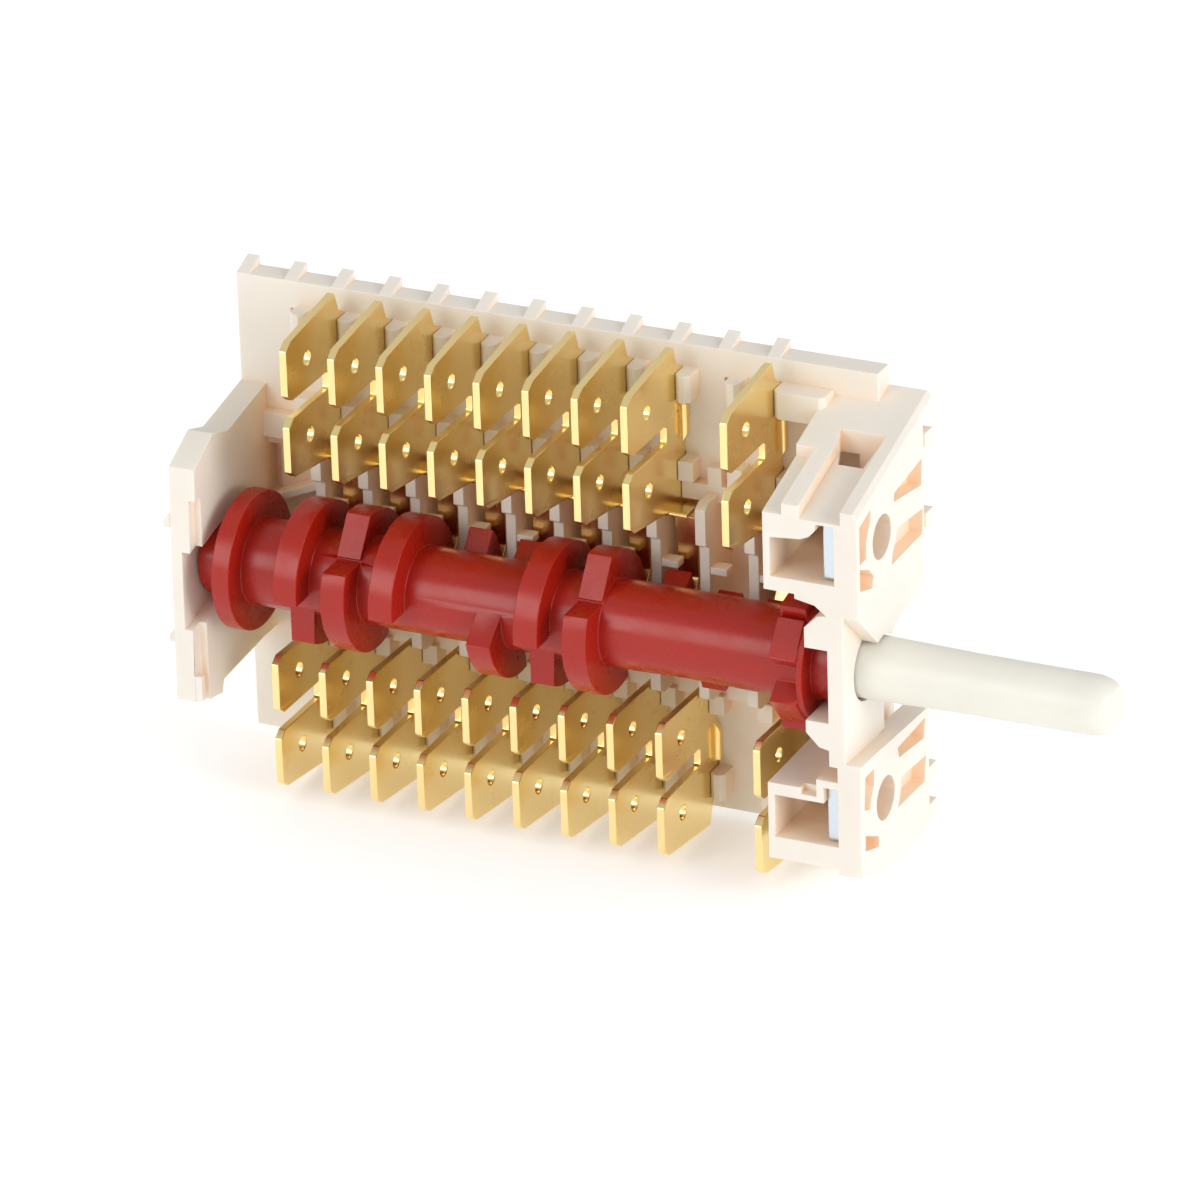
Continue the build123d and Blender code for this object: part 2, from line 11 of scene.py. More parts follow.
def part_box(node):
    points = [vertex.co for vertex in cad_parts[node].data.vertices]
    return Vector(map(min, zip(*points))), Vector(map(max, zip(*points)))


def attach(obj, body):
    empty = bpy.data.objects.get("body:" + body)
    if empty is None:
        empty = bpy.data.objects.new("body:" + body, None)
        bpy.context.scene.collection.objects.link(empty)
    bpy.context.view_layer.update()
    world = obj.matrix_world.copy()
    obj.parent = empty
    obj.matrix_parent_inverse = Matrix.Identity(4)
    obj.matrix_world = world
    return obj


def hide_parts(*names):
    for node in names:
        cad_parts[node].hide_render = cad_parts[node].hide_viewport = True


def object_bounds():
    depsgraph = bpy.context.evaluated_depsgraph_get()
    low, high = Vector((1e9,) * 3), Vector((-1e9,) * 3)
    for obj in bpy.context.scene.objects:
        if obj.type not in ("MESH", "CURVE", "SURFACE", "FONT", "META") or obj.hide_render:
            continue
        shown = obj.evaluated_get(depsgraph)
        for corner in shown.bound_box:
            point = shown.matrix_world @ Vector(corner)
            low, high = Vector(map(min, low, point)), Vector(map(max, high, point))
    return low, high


bl_info = {
    "name": "Oven Selector Switch",
    "version": (1, 1, 0),
    "blender": (4, 5, 0),
    "location": "View3D > Sidebar > Switch",
    "description": "Brass, springs, finishes and studio for a cam operated oven selector switch",
    "category": "Object",
}

MM = 0.001

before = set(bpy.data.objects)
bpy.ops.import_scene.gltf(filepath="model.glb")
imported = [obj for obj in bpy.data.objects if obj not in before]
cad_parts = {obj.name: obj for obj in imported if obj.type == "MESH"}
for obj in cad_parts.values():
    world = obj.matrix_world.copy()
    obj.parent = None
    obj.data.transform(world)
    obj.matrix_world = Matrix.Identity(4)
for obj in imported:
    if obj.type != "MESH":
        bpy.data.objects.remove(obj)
CAD_BOX = [list(corner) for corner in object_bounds()]
FLOOR_Z = CAD_BOX[0][2]

# Places of each bank along the cam shaft, and the one that is empty, counted from 0
UPPER_PLACES, UPPER_EMPTY = 10, 8
LOWER_PLACES, LOWER_EMPTY = 11, 9
UPPER_CIRCUITS = [n + 1 for n in range(UPPER_PLACES) if n != UPPER_EMPTY]
LOWER_NUMBERS = [n + 1 for n in range(LOWER_PLACES) if n != LOWER_EMPTY]
UPPER_NAMES = [f"upper_terminal_{n}" for n in UPPER_CIRCUITS]
LOWER_NAMES = [f"lower_terminal_{n}" for n in LOWER_NUMBERS]

# Angles in degrees past which an edge stays sharp in the shading
MOULDED_ANGLE = 33
STAMPED_ANGLE = 20
TURNED_ANGLE = 30

# Mouldings: the least angle of an edge that is rounded, its steps, and what is merged before
ROUNDED_ANGLE = 35
EDGE_STEPS = 3
MERGE = 0.002 * MM
SLIVER = 0.005 * MM

# Corners of an outline: the least turn that is drawn as an arc and the arc's steps, in degrees,
# and the largest share of a side that an arc takes
SLIGHT_TURN = 12
ARC_STEP = 15
SIDE_SHARE = 0.4

# Broken edges: the share of their width at which they bend, and the limit of a sharp corner
EDGE_BEND = 0.3
MITER_LIMIT = 0.3

CIRCLE_SIDES = 24
TURNED_SIDES = 72
DOME_STEPS = 8

# Depths of the brass behind the axis, as Y in millimetres: the ear that holds a spring, the front
# of the plate, and the ends of the roots
EAR_FRONT, EAR_FOOT, EAR_BACK = 6.0, 8.8, 9.3
PLATE, ROOT = 10, 11.65

# Outlines of the brass at the plate, as Y and Z in millimetres
UPPER_ROOT = ((PLATE, 23.75), (PLATE, 23.2), (ROOT, 23.2), (ROOT, 19.7), (PLATE, 19.7),
              (PLATE, 14.7), (ROOT, 14.7), (ROOT, 6.7), (EAR_FOOT, 6.7), (EAR_FOOT, 9.3),
              (EAR_FRONT, 9.3), (EAR_FRONT, 9.8))
UPPER_EAR = ((EAR_FRONT, 9.8), (EAR_BACK, 9.8), (EAR_BACK, 6.7), (EAR_FOOT, 6.7),
             (EAR_FOOT, 9.3), (EAR_FRONT, 9.3))
LOWER_ROOT = ((PLATE, -21.85), (PLATE, -21.3), (ROOT, -21.3), (ROOT, -17.8), (PLATE, -17.8),
              (PLATE, -11.65), (7.4, -9.45))
CONTACT_LEG = ((PLATE, -12.8), (ROOT, -12.8), (ROOT, -6.7), (PLATE, -6.7))

# Ear: its corner radius, and the step from the strip to it
EAR_CORNER, EAR_STEP = 0.35 * MM, 0.2 * MM

# Fork: the length of a lead-in over its height, and the length and drop of a barb
LEAD_SLOPE = 1.3
BARB_LENGTH, BARB_DROP = 0.8 * MM, 0.9 * MM

# Bent flange: its back from the tips of the tabs, its reach beside the strip and its root in it,
# its top, the start of its slant and its low end from the bank's middle, and its edge's share
FLANGE_BACK, FLANGE_REACH, FLANGE_ROOT = 13.1 * MM, 0.6 * MM, 0.12 * MM
FLANGE_TOP, FLANGE_SLANT, FLANGE_END = 1.9 * MM, -1.3 * MM, -2.45 * MM
FLANGE_EDGE = 0.6

# Fixed contacts: how far the leg stands in from the terminal's side, the strip's heights and
# depths, and the button's depths and place along the strip
LEG_INSET = 0.6 * MM
CONTACT_LOW, CONTACT_HIGH = -8.4 * MM, -3.1 * MM
CONTACT_FRONT, CONTACT_BACK = 9.95 * MM, 10.45 * MM
BUTTON_FRONT, BUTTON_BACK, BUTTON_PLACE = 9.65 * MM, 10.0 * MM, 1.1 * MM

# Springs: half height of the nose's tip inside and outside, the slack of its outer folds, the
# broken edges of strip and button, and how deep the button sits in the strip
NOSE_INNER, NOSE_OUTER, NOSE_SLACK = 0.5 * MM, 0.7 * MM, 0.1 * MM
SPRING_EDGE, BUTTON_EDGE, BUTTON_SINK = 0.05 * MM, 0.12 * MM, 0.05 * MM

# Nut plates: corner radius, and the hole's radius and sides
NUT_CORNER, NUT_HOLE, NUT_HOLE_SIDES = 0.4 * MM, 1.65 * MM, 32

# Finishes: where a noise's values mostly lie, how far the painted warm shade of a hollow reaches
# and at which open shares it starts and ends, and how deep light goes into the plastic
NOISE_LOW, NOISE_HIGH = 0.3, 0.7
PAINTED_SHADE_REACH, PAINTED_SHADE_CLOSED, PAINTED_SHADE_OPEN = 9 * MM, 0.15, 0.8
GLOW_DEPTH = 1.2 * MM
MOTTLE_DEPTH = 0.03

# Studio: the lamps with place, power and tint, their width and aim, the floor and the camera
LAMPS = (("key light", (-0.42, -0.80, 0.40), 2.7, (1.0, 0.98, 0.96)),
         ("fill light", (0.90, -0.20, 0.34), 5.2, (0.99, 0.98, 0.98)))
LAMP_WIDTH = 0.6
LAMP_AIM = (-0.03, 0.0, 0.0)
WHITE = (1.0, 1.0, 1.0, 1.0)
FLOOR_DROP = 0.2 * MM
FLOOR_ROUGHNESS, FLOOR_SHINE, FLOOR_GLOW = 0.9, 0.1, 0.33
SENSOR_WIDTH = 36.0
CLIP_START, CLIP_END = 0.01, 20.0


def colour(label, description, default):
    """A colour that a user may change."""
    return bpy.props.FloatVectorProperty(name=label, description=description, subtype="COLOR",
                                         size=3, min=0.0, max=1.0, default=default)


def length(label, description, default):
    """A length that a user may change."""
    return bpy.props.FloatProperty(name=label, description=description, default=default,
                                   unit="LENGTH")


def angle(label, description, degrees):
    """An angle that a user may change."""
    return bpy.props.FloatProperty(name=label, description=description,
                                   default=math.radians(degrees), subtype="ANGLE",
                                   unit="ROTATION")


class SwitchFinish(bpy.types.PropertyGroup):
    """Colours of the switch's own materials"""
    moulding: colour("Moulding", "Cream plastic of the frame", (0.79, 0.745, 0.67))
    # painted light: a warm colour for the hollows that stands in for their shade and the light
    # bounced inside them
    painted_hollow_light: colour("Recess", "Warm light that the cream plastic passes on in its hollows",
                   (0.98, 0.72, 0.50))
    shaft: colour("Cam shaft", "Brick red plastic of the cam shaft", (0.36, 0.011, 0.004))
    spindle: colour("Spindle", "Pale ivory plastic of the spindle", (0.745, 0.735, 0.66))
    brass: colour("Terminals", "Polished brass of the terminals", (1.0, 0.78, 0.36))
    spring: colour("Springs", "Brass strip of the contact springs", (0.84, 0.58, 0.26))
    zinc: colour("Nut plates", "Bluish zinc plating", (0.67, 0.74, 0.81))
    steel: colour("Detent spring", "Bare spring steel", (0.56, 0.56, 0.56))


class SwitchBrass(bpy.types.PropertyGroup):
    """Sizes of the brass forks"""
    thickness: length("Strip", "Thickness of the brass strip", 0.8 * MM)
    tab: length("Tab", "Width of a push-on tab", 6.3 * MM)
    tab_pitch: length("Tab pitch", "Between the two tabs of a fork", 8.2 * MM)
    lead: length("Lead-in", "Chamfer at the tip of a tab", 0.75 * MM)
    hole: length("Hole", "Radius of a tab's latching hole", 0.8 * MM)
    hole_place: length("Hole place", "From the tip of a tab to its hole", 4.5 * MM)
    slit: length("Slit", "Depth of the slit between the two tabs", 8.9 * MM)
    shoulder: length("Shoulder", "From the tip of a tab to its barb", 10.9 * MM)
    barb_rise: length("Barb", "Height of the barb above the tab", 1.25 * MM)
    corner: length("Corner", "Radius that the die leaves at a corner", 0.3 * MM)
    edge: length("Edge", "Broken edge of the stamped strip", 0.09 * MM)
    bend: length("Bend", "Inner radius of the flange that lies on the plate", 0.5 * MM)


class SwitchSprings(bpy.types.PropertyGroup):
    """Sizes of the springs and their contact buttons"""
    strip: length("Strip", "Thickness of a spring", 0.3 * MM)
    fold: length("Fold", "Radius of the folds of a spring's nose", 0.45 * MM)
    nose: length("Nose", "Half height of the folded nose", 1.9 * MM)
    contact: length("Contact", "Radius of a contact button", 0.9 * MM)
    contact_height: length("Contact height", "Height of a contact button", 0.3 * MM)
    contact_z: length("Contact place", "Height of the buttons' middle", -4.5 * MM)


class SwitchSpindle(bpy.types.PropertyGroup):
    """Sizes of the spindle"""
    taper_end: length("Taper end", "Where the taper ends, from the mounting face", 9.5 * MM)
    tip: length("Tip", "Radius before the rounded end", 3.0 * MM)
    round_length: length("Round", "Length of the rounded end", 2.5 * MM)
    flat: length("Flat", "Radius of the flat that is left at the end", 1.7 * MM)


class SwitchEdges(bpy.types.PropertyGroup):
    """Widths of the rounded edges"""
    moulding: length("Moulding", "Edges of the cream moulding", 0.07 * MM)
    shaft: length("Cam shaft", "Edges of the cams", 0.1 * MM)
    plates: length("Nut plates", "Edges of the nut plates", 0.12 * MM)


class SwitchStage(bpy.types.PropertyGroup):
    """Camera, light and floor"""
    azimuth: angle("Azimuth", "Camera's turn round the switch", 25.52)
    elevation: angle("Elevation", "Camera's height above level", 25.26)
    roll: angle("Roll", "Camera's lean to the left", 1.74)
    distance: length("Distance", "From the camera to the plane through the switch", 0.853)
    aim_right: length("Aim right", "Where the camera points, along its level axis", -27.24 * MM)
    aim_up: length("Aim up", "Where the camera points, along its upright axis", 7.42 * MM)
    lens: bpy.props.FloatProperty(name="Lens", description="Focal length", default=264.8,
                                  subtype="DISTANCE_CAMERA")
    floor_size: length("Floor size", "Side of the pale floor", 6.0)
    floor: colour("Floor", "Pale floor", (0.9, 0.9, 0.9))
    room: bpy.props.FloatProperty(name="Room light", description="Strength of the even light",
                                  default=0.65, min=0.0)


def shader(name, base, roughness, metallic=0.0):
    """A node material with its principled shader, and what is needed to add to it."""
    material = bpy.data.materials.new(name)
    material.use_nodes = True
    nodes, links = material.node_tree.nodes, material.node_tree.links
    principled = nodes["Principled BSDF"]
    principled.inputs["Base Color"].default_value = (*base, 1.0)
    principled.inputs["Roughness"].default_value = roughness
    principled.inputs["Metallic"].default_value = metallic
    return material, nodes, links, principled


def noise(nodes, links, scale, stretch=(1.0, 1.0, 1.0)):
    """A noise over the piece's own space, in waves per metre."""
    place = nodes.new("ShaderNodeTexCoord")
    mapping = nodes.new("ShaderNodeMapping")
    mapping.inputs["Scale"].default_value = stretch
    texture = nodes.new("ShaderNodeTexNoise")
    texture.inputs["Scale"].default_value = scale
    texture.inputs["Detail"].default_value = 3.0
    links.new(place.outputs["Object"], mapping.inputs["Vector"])
    links.new(mapping.outputs["Vector"], texture.inputs["Vector"])
    return texture.outputs["Fac"]


def spread(nodes, links, source, low, high, start=NOISE_LOW, end=NOISE_HIGH):
    """A range of the source's values spread between two others."""
    span = nodes.new("ShaderNodeMapRange")
    span.inputs["From Min"].default_value = start
    span.inputs["From Max"].default_value = end
    span.inputs["To Min"].default_value = low
    span.inputs["To Max"].default_value = high
    links.new(source, span.inputs["Value"])
    return span.outputs["Result"]


def mixed(nodes, links, factor, first, second):
    """Two colours, or colour outputs, mixed by a factor."""
    mix = nodes.new("ShaderNodeMix")
    mix.data_type = "RGBA"
    links.new(factor, mix.inputs["Factor"])
    for socket, value in (("A", first), ("B", second)):
        if isinstance(value, bpy.types.NodeSocket):
            links.new(value, mix.inputs[socket])
        else:
            mix.inputs[socket].default_value = (*value, 1.0)
    return mix.outputs["Result"]


def mottle(nodes, links, base, scale):
    """Slightly uneven colour."""
    low = [c * (1 - MOTTLE_DEPTH) for c in base]
    high = [min(1.0, c * (1 + MOTTLE_DEPTH)) for c in base]
    share = spread(nodes, links, noise(nodes, links, scale), 0.0, 1.0)
    return mixed(nodes, links, share, low, high)


def wear(nodes, links, principled, smoothest, roughest, scale, stretch=(1.0, 1.0, 1.0)):
    """Slightly uneven gloss."""
    source = noise(nodes, links, scale, stretch)
    links.new(spread(nodes, links, source, smoothest, roughest), principled.inputs["Roughness"])


def grain(nodes, links, principled, scale, depth):
    """A fine bump."""
    bump = nodes.new("ShaderNodeBump")
    bump.inputs["Strength"].default_value = 1.0
    bump.inputs["Distance"].default_value = depth
    links.new(noise(nodes, links, scale), bump.inputs["Height"])
    links.new(bump.outputs["Normal"], principled.inputs["Normal"])


def plastic(name, base, roughness, subsurface=0.0, glow=(1.0, 0.7, 0.5), painted_hollow_light=None, shine=0.5):
    """Satin moulded plastic, with painted warm shade and bounced light in its hollows where a
    colour for it is given.
    """
    material, nodes, links, principled = shader(name, base, roughness)
    tone = mottle(nodes, links, base, scale=90.0)
    # painted shade: ambient occlusion finds the hollows, and the base colour is tinted towards a
    # warm colour there in place of their shade and bounced light
    if painted_hollow_light:
        hollow = nodes.new("ShaderNodeAmbientOcclusion")
        hollow.samples = 4
        hollow.only_local = True
        hollow.inputs["Distance"].default_value = PAINTED_SHADE_REACH
        unshaded_share = spread(nodes, links, hollow.outputs["AO"], 0.0, 1.0,
                            start=PAINTED_SHADE_CLOSED, end=PAINTED_SHADE_OPEN)
        tone = mixed(nodes, links, unshaded_share, painted_hollow_light, tone)
    links.new(tone, principled.inputs["Base Color"])
    wear(nodes, links, principled, roughness - 0.05, roughness + 0.07, scale=420.0)
    grain(nodes, links, principled, scale=2600.0, depth=0.008 * MM)
    principled.inputs["Subsurface Weight"].default_value = subsurface
    principled.inputs["Subsurface Radius"].default_value = glow
    principled.inputs["Subsurface Scale"].default_value = GLOW_DEPTH
    principled.inputs["Specular IOR Level"].default_value = shine
    return material


def metal(name, base, roughness):
    """Rolled strip, faintly streaked along the rolling."""
    material, nodes, links, principled = shader(name, base, roughness, metallic=1.0)
    links.new(mottle(nodes, links, base, scale=60.0), principled.inputs["Base Color"])
    wear(nodes, links, principled, roughness - 0.04, roughness + 0.05, scale=1100.0,
         stretch=(1.0, 0.25, 0.25))
    grain(nodes, links, principled, scale=160.0, depth=0.002 * MM)
    return material


def points_mm(pairs):
    """Pairs of millimetres as the points of an outline."""
    return [Vector(pair) * MM for pair in pairs]


def box_outline(low_u, low_v, high_u, high_v):
    """The outline of a rectangle."""
    return [Vector(p) for p in ((low_u, low_v), (high_u, low_v), (high_u, high_v), (low_u, high_v))]


def circle(u, v, radius, sides=CIRCLE_SIDES):
    """The outline of a circle."""
    turns = [math.tau * k / sides for k in range(sides)]
    return [Vector((u + radius * math.cos(turn), v + radius * math.sin(turn))) for turn in turns]


def rounded(corners, radius):
    """The outline with its corners drawn as arcs, each within its share of a side."""
    points = []
    for before, corner, after in zip(corners[-1:] + corners[:-1], corners,
                                     corners[1:] + corners[:1]):
        back, onward = before - corner, after - corner
        half = back.angle(onward) / 2
        turn = math.pi - 2 * half
        if turn < math.radians(SLIGHT_TURN):
            points.append(corner)
            continue
        reach = min(radius / math.tan(half), back.length * SIDE_SHARE, onward.length * SIDE_SHARE)
        inward = (back.normalized() + onward.normalized()).normalized()
        middle = corner + inward * (reach / math.cos(half))
        start = corner + back.normalized() * reach - middle
        end = corner + onward.normalized() * reach - middle
        steps = max(2, math.ceil(turn / math.radians(ARC_STEP)))
        for step in range(steps + 1):
            points.append(middle + start.slerp(end, step / steps).normalized() * start.length)
    return points


def wound(points, clockwise=False):
    """The outline, turned the way that keeps the material on its left."""
    area = sum(a.x * b.y - b.x * a.y for a, b in zip(points, points[1:] + points[:1]))
    return points if (area < 0) == clockwise else points[::-1]


def inset(points, distance):
    """The outline moved to its left by a distance."""
    moved = []
    for before, point, after in zip(points[-1:] + points[:-1], points, points[1:] + points[:1]):
        ahead, onward = (point - before).normalized(), (after - point).normalized()
        mean = (ahead + onward).normalized()
        left = Vector((-mean.y, mean.x))
        share = left.dot(Vector((-onward.y, onward.x)))
        moved.append(point + left * distance / max(MITER_LIMIT, share))
    return moved


def across_x(u, v, w):
    """A point of an outline in Y and Z, at a place along the cam shaft."""
    return Vector((w, u, v))


def across_y(u, v, w):
    """A point of an outline in X and Z, at a depth."""
    return Vector((u, w, v))


def stamping(bm, outline, low, high, edge, across=across_x, holes=(), cut=None):
    """Adds a flat piece of one outline, with its edges broken by two small facets.

    cut moves the piece's low end, and is given a point of the outline."""
    loops = [wound(outline)] + [wound(hole, clockwise=True) for hole in holes]
    bend = edge * EDGE_BEND
    levels = [(edge, low), (bend, low + bend), (0.0, low + edge),
              (0.0, high - edge), (bend, high - bend), (edge, high)]
    low_levels = len(levels) // 2
    rings = []
    for loop in loops:
        ring = []
        for depth, (move, w) in enumerate(levels):
            lift = cut if cut and depth < low_levels else lambda point: 0.0
            ring.append([bm.verts.new(across(p.x, p.y, w + lift(p))) for p in inset(loop, move)])
        rings.append(ring)
    for ring in rings:
        for lower, upper in zip(ring, ring[1:]):
            for k in range(len(lower)):
                bm.faces.new((lower[k - 1], lower[k], upper[k], upper[k - 1]))
    caps = tessellate_polygon([[Vector((p.x, p.y, 0.0)) for p in inset(loop, edge)]
                               for loop in loops])
    for end in (0, -1):
        corners = [vert for ring in rings for vert in ring[end]]
        for a, b, c in caps:
            bm.faces.new((corners[a], corners[b], corners[c]))


def turned(bm, profile):
    """Adds a shape turned about the cam shaft's axis, from places along it and radii."""
    rings = []
    for x, r in profile:
        if r == 0.0:
            rings.append([bm.verts.new((x, 0.0, 0.0))] * TURNED_SIDES)
        else:
            rings.append([bm.verts.new((x, p.x, p.y)) for p in circle(0.0, 0.0, r, TURNED_SIDES)])
    for first, second in zip(rings, rings[1:]):
        for k in range(TURNED_SIDES):
            corners = [first[k - 1], first[k], second[k], second[k - 1]]
            bm.faces.new(list(dict.fromkeys(corners)))


def placed(name, data):
    """A new object in the scene."""
    made = bpy.data.objects.new(name, data)
    bpy.context.scene.collection.objects.link(made)
    return made


def filled(name, bm):
    """A new object in the scene that holds a finished mesh."""
    mesh = bpy.data.meshes.new(name)
    bm.to_mesh(mesh)
    bm.free()
    return placed(name, mesh)


def bake(made):
    """Works an object's modifiers into its mesh."""
    graph = bpy.context.evaluated_depsgraph_get()
    mesh = bpy.data.meshes.new_from_object(made.evaluated_get(graph),
                                           preserve_all_data_layers=True, depsgraph=graph)
    made.modifiers.clear()
    made.data = mesh
    return made


def even(made, degrees):
    """Smooth shading that breaks at sharp edges and leaves broad flat faces flat."""
    mesh = made.data
    mesh.polygons.foreach_set("use_smooth", [True] * len(mesh.polygons))
    mesh.set_sharp_from_angle(angle=math.radians(degrees))
    weight = made.modifiers.new("even shading", "WEIGHTED_NORMAL")
    weight.keep_sharp = True
    return bake(made)


def piece(name, build, degrees=STAMPED_ANGLE):
    """A new object from a function that fills a mesh."""
    bm = bmesh.new()
    build(bm)
    bmesh.ops.recalc_face_normals(bm, faces=bm.faces)
    return even(filled(name, bm), degrees)


def settle(made, body, nodes, material=None):
    """Hangs a finished piece on its body, in place of the solids that it shows."""
    if material:
        made.data.materials.clear()
        made.data.materials.append(material)
    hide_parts(*nodes)
    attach(made, body)
    return made


def soften(name, width, body, material):
    """Shows a moulded piece in its own shape, with its sharp edges rounded."""
    bm = bmesh.new()
    bm.from_mesh(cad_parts[name].data)
    bmesh.ops.remove_doubles(bm, verts=bm.verts, dist=MERGE)
    bmesh.ops.dissolve_degenerate(bm, edges=bm.edges, dist=SLIVER)
    made = filled(f"{name}_soft", bm)
    edges = made.modifiers.new("edges", "BEVEL")
    edges.width = width
    edges.segments = EDGE_STEPS
    edges.limit_method = "ANGLE"
    edges.angle_limit = math.radians(ROUNDED_ANGLE)
    edges.use_clamp_overlap = False
    even(bake(made), MOULDED_ANGLE)
    return settle(made, body, [name], material)


def bank_tree():
    """The nodes that repeat one terminal along the cam shaft and leave one place empty."""
    tree = bpy.data.node_groups.new("terminal bank", "GeometryNodeTree")
    sockets = {}
    for label, kind in (("Geometry", "NodeSocketGeometry"), ("Count", "NodeSocketInt"),
                        ("Pitch", "NodeSocketFloat"), ("Empty place", "NodeSocketInt"),
                        ("Finish", "NodeSocketMaterial")):
        sockets[label] = tree.interface.new_socket(label, in_out="INPUT", socket_type=kind)
    tree.interface.new_socket("Geometry", in_out="OUTPUT", socket_type="NodeSocketGeometry")
    nodes, links = tree.nodes, tree.links
    given = nodes.new("NodeGroupInput").outputs
    step = nodes.new("ShaderNodeCombineXYZ")
    links.new(given["Pitch"], step.inputs["X"])
    row = nodes.new("GeometryNodeMeshLine")
    links.new(given["Count"], row.inputs["Count"])
    links.new(step.outputs["Vector"], row.inputs["Offset"])
    place = nodes.new("GeometryNodeInputIndex")
    empty = nodes.new("FunctionNodeCompare")
    empty.data_type = "INT"
    empty.operation = "EQUAL"
    numbers = [socket for socket in empty.inputs if socket.type == "INT"]
    links.new(place.outputs["Index"], numbers[0])
    links.new(given["Empty place"], numbers[1])
    missing = nodes.new("GeometryNodeDeleteGeometry")
    links.new(row.outputs["Mesh"], missing.inputs["Geometry"])
    links.new(empty.outputs["Result"], missing.inputs["Selection"])
    copies = nodes.new("GeometryNodeInstanceOnPoints")
    links.new(missing.outputs["Geometry"], copies.inputs["Points"])
    links.new(given["Geometry"], copies.inputs["Instance"])
    real = nodes.new("GeometryNodeRealizeInstances")
    links.new(copies.outputs["Instances"], real.inputs["Geometry"])
    coat = nodes.new("GeometryNodeSetMaterial")
    links.new(real.outputs["Geometry"], coat.inputs["Geometry"])
    links.new(given["Finish"], coat.inputs["Material"])
    links.new(coat.outputs["Geometry"], nodes.new("NodeGroupOutput").inputs["Geometry"])
    return tree, sockets


def circuit_pitch():
    """The distance between two neighbouring terminals."""
    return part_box(UPPER_NAMES[1])[0].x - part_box(UPPER_NAMES[0])[0].x


def bank(made, count, empty_place, finish):
    """A terminal repeated at the pitch of the circuits."""
    tree, sockets = bank_tree()
    modifier = made.modifiers.new("bank", "NODES")
    modifier.node_group = tree
    values = {"Count": count, "Pitch": circuit_pitch(), "Empty place": empty_place,
              "Finish": finish}
    for label, value in values.items():
        modifier[sockets[label].identifier] = value
    return even(bake(made), STAMPED_ANGLE)


def fork(bm, sizes, x0, front, bank_z, side, root):
    """Adds one stamped fork: two tabs with holes, a barb, the root and the bent flange."""
    half = (sizes.tab_pitch + sizes.tab) / 2
    gap = (sizes.tab_pitch - sizes.tab) / 2
    outer, inner, lead = bank_z + side * half, bank_z - side * half, side * sizes.lead
    low_gap, high_gap = bank_z - side * gap, bank_z + side * gap
    lead_y, slit_y = front + LEAD_SLOPE * sizes.lead, front + sizes.slit
    shoulder = front + sizes.shoulder
    outline = [Vector(p) for p in (
        (front, outer - lead), (lead_y, outer), (shoulder, outer + side * sizes.barb_rise),
        (shoulder + BARB_LENGTH, outer - side * BARB_DROP))]
    outline += points_mm(root)
    outline += [Vector(p) for p in (
        (lead_y, inner), (front, inner + lead), (front, low_gap - lead), (lead_y, low_gap),
        (slit_y, low_gap), (slit_y, high_gap), (lead_y, high_gap), (front, high_gap + lead))]
    holes = [circle(front + sizes.hole_place, bank_z + turn * sizes.tab_pitch / 2, sizes.hole)
             for turn in (1, -1)]
    x1 = x0 + sizes.thickness
    stamping(bm, rounded(outline, sizes.corner), x0, x1, sizes.edge, holes=holes)
    flange(bm, sizes, x1, front + FLANGE_BACK, bank_z, side)


def flange(bm, sizes, x1, back, bank_z, side):
    """Adds the edge bent onto the plate, hollow at the front and slanting at its low end."""
    radius, face = sizes.bend, back - sizes.thickness
    middle = Vector((x1 + radius, face - radius))
    turns = [math.radians(turn) for turn in range(180, 90 - ARC_STEP, -ARC_STEP)]
    hollow = [middle + radius * Vector((math.cos(turn), math.sin(turn))) for turn in turns]
    outline = [Vector((x1 - FLANGE_ROOT, middle.y)), *hollow, Vector((x1 + FLANGE_REACH, face)),
               Vector((x1 + FLANGE_REACH, back)), Vector((x1 - FLANGE_ROOT, back))]

    def up(u, v, w):
        return Vector((u, v, bank_z + side * w))

    def slant(point):
        share = max(0.0, min(1.0, (point.x - x1) / FLANGE_REACH))
        return share * (FLANGE_SLANT - FLANGE_END)

    stamping(bm, outline, FLANGE_END, FLANGE_TOP, sizes.edge * FLANGE_EDGE, across=up, cut=slant)


def spring(name, sizes, coat, slot, contact=True):
    """A thin strip folded into a nose towards its cam, with a button near its free end."""
    low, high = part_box(name)
    thick, tip, n = sizes.strip, low.y, sizes.nose
    back = high.y - sizes.contact_height if contact else high.y
    face = back - thick
    outline = [Vector(p) for p in (
        (back, high.z), (back, n), (tip + thick, NOSE_INNER), (tip + thick, -NOSE_INNER),
        (back, -n), (back, low.z), (face, low.z), (face, -n - NOSE_SLACK), (tip, -NOSE_OUTER),
        (tip, NOSE_OUTER), (face, n + NOSE_SLACK), (face, high.z))]

    def build(bm):
        stamping(bm, rounded(outline, sizes.fold), low.x, high.x, SPRING_EDGE)
        if contact:
            button = circle((low.x + high.x) / 2, sizes.contact_z, sizes.contact)
            stamping(bm, button, back - BUTTON_SINK, high.y, BUTTON_EDGE, across=across_y)

    return settle(piece(f"{name}_strip", build), f"{name}_body", [name], coat)


class SWITCH_OT_moulding(bpy.types.Operator):
    """Finish the moulded frame in satin cream plastic"""
    bl_idname = "switch.moulding"
    bl_label = "Moulded frame"

    def execute(self, context):
        finish = context.scene.switch_finish
        coat = plastic("cream moulding", finish.moulding, roughness=0.42, subsurface=0.25,
                       glow=(1.0, 0.75, 0.55), painted_hollow_light=finish.painted_hollow_light)
        width = context.scene.switch_edges.moulding
        soften("body_frame", width, "frame_body", coat)
        return {"FINISHED"}


class SWITCH_OT_cam_shaft(bpy.types.Operator):
    """Finish the cam shaft in satin brick red plastic"""
    bl_idname = "switch.cam_shaft"
    bl_label = "Cam shaft"

    def execute(self, context):
        coat = plastic("red cam shaft", context.scene.switch_finish.shaft, roughness=0.28,
                       shine=0.45)
        soften("camshaft", context.scene.switch_edges.shaft, "rotor", coat)
        return {"FINISHED"}


